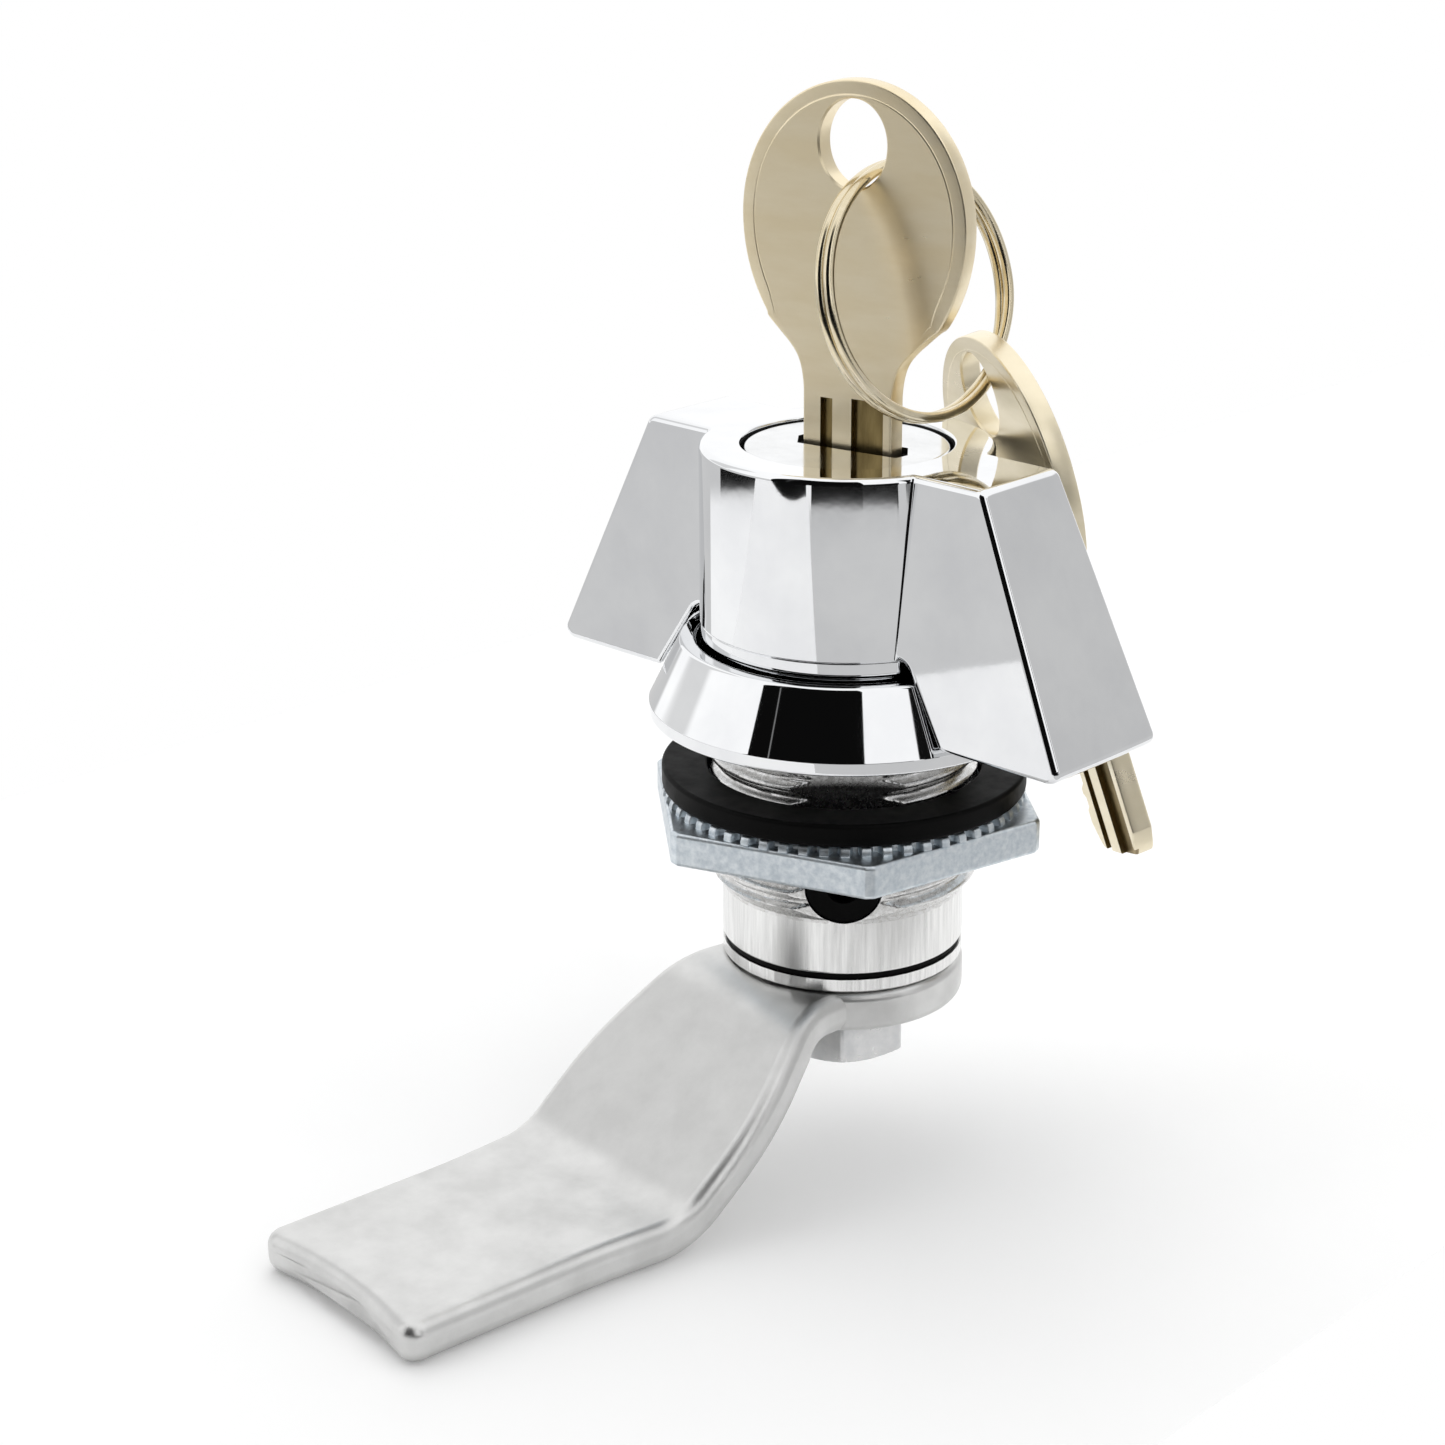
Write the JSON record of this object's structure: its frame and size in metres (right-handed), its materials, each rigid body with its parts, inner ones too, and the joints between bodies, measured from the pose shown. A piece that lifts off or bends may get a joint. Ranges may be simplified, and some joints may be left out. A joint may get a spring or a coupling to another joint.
{
  "type": "quarter-turn cam lock with wing handle",
  "caption": "Chrome wing-handle quarter-turn cam latch with threaded housing, hexagon nut, gasket, cranked cam, key cylinder, and keys on a split ring.",
  "frame": {"origin": "centre of the flange's underside, on the latch axis, where the front of the panel lies", "axes": "+Z along the latch axis toward the handle and key, +X along one wing of the handle"},
  "size_m": [0.0542, 0.0701, 0.0875],
  "materials": {
    "chrome": "polished",
    "zinc": "satin",
    "rubber": "matte",
    "steel": "satin",
    "brass": "satin",
    "nickel_silver": "satin"
  },
  "bodies": {
    "body": {"housing": "chrome", "mounting_nut": "zinc", "gasket": "rubber", "detent_bush": "rubber", "detent_ball": "steel"},
    "handle": {"wing_handle": "chrome", "spindle": "steel", "cam": "steel", "cam_screw": "steel", "spring_washer": "steel", "handle_screw": "steel", "dowel_right": "steel", "dowel_left": "steel", "stop_pin": "steel", "hub_seal": "rubber", "lower_seal": "rubber", "lock_sleeve": "brass"},
    "lock_plug": {"plug": "chrome"},
    "bolt": {"lock_bolt": "brass"},
    "wafer_a": {"wafer_1": "brass"},
    "wafer_b": {"wafer_2": "brass"},
    "wafer_c": {"wafer_3": "brass"},
    "wafer_d": {"wafer_4": "brass"},
    "wafer_e": {"wafer_5": "brass"},
    "key": {"key_1": "nickel_silver"},
    "ring": {"key_ring": "nickel_silver"},
    "spare_key": {"key_2": "nickel_silver"}
  },
  "joints": [
    {"name": "handle_turn", "type": "hinge", "parent": "body", "child": "handle", "pos_m": [0, 0, 0], "axis": [0, 0, 1], "range_deg": [0, 90]},
    {"name": "plug_turn", "type": "hinge", "parent": "handle", "child": "lock_plug", "pos_m": [0, 0, 0], "axis": [0, 0, 1], "range_deg": [0, 60]},
    {"name": "bolt_slide", "type": "slide", "parent": "handle", "child": "bolt", "axis": [0, -1, 0], "range_m": [0, 0.0016]},
    {"name": "key_slide", "type": "slide", "parent": "lock_plug", "child": "key", "axis": [0, 0, 1], "range_m": [0, 0.0165]},
    {"name": "wafer_a_slide", "type": "slide", "parent": "lock_plug", "child": "wafer_a", "axis": [0.9836, 0.1805, 0], "range_m": [0, 0.0008]},
    {"name": "wafer_b_slide", "type": "slide", "parent": "lock_plug", "child": "wafer_b", "axis": [0.9836, 0.1805, 0], "range_m": [0, 0.0008]},
    {"name": "wafer_c_slide", "type": "slide", "parent": "lock_plug", "child": "wafer_c", "axis": [0.9836, 0.1805, 0], "range_m": [0, 0.0008]},
    {"name": "wafer_d_slide", "type": "slide", "parent": "lock_plug", "child": "wafer_d", "axis": [0.9836, 0.1805, 0], "range_m": [0, 0.0008]},
    {"name": "wafer_e_slide", "type": "slide", "parent": "lock_plug", "child": "wafer_e", "axis": [0.9836, 0.1805, 0], "range_m": [0, 0.0008]},
    {"name": "ring_swing", "type": "hinge", "parent": "key", "child": "ring", "pos_m": [0.00176, 0.00032, 0.04382], "axis": [0.2632, 0.0483, -0.9635], "range_deg": [0, 3]},
    {"name": "spare_key_swing", "type": "hinge", "parent": "ring", "child": "spare_key", "pos_m": [0.00662, 0.00959, 0.02758], "axis": [-0.1352, 0.7567, 0.6396], "range_deg": [-5, 0]}
  ],
  "couplings": [
    {"joint": "bolt_slide", "follows": "plug_turn", "m_per_rad": 0.001527},
    {"joint": "wafer_a_slide", "follows": "key_slide", "ratio": 0.0484},
    {"joint": "wafer_b_slide", "follows": "key_slide", "ratio": 0.0484},
    {"joint": "wafer_c_slide", "follows": "key_slide", "ratio": 0.0484},
    {"joint": "wafer_d_slide", "follows": "key_slide", "ratio": 0.0484},
    {"joint": "wafer_e_slide", "follows": "key_slide", "ratio": 0.0484}
  ]
}
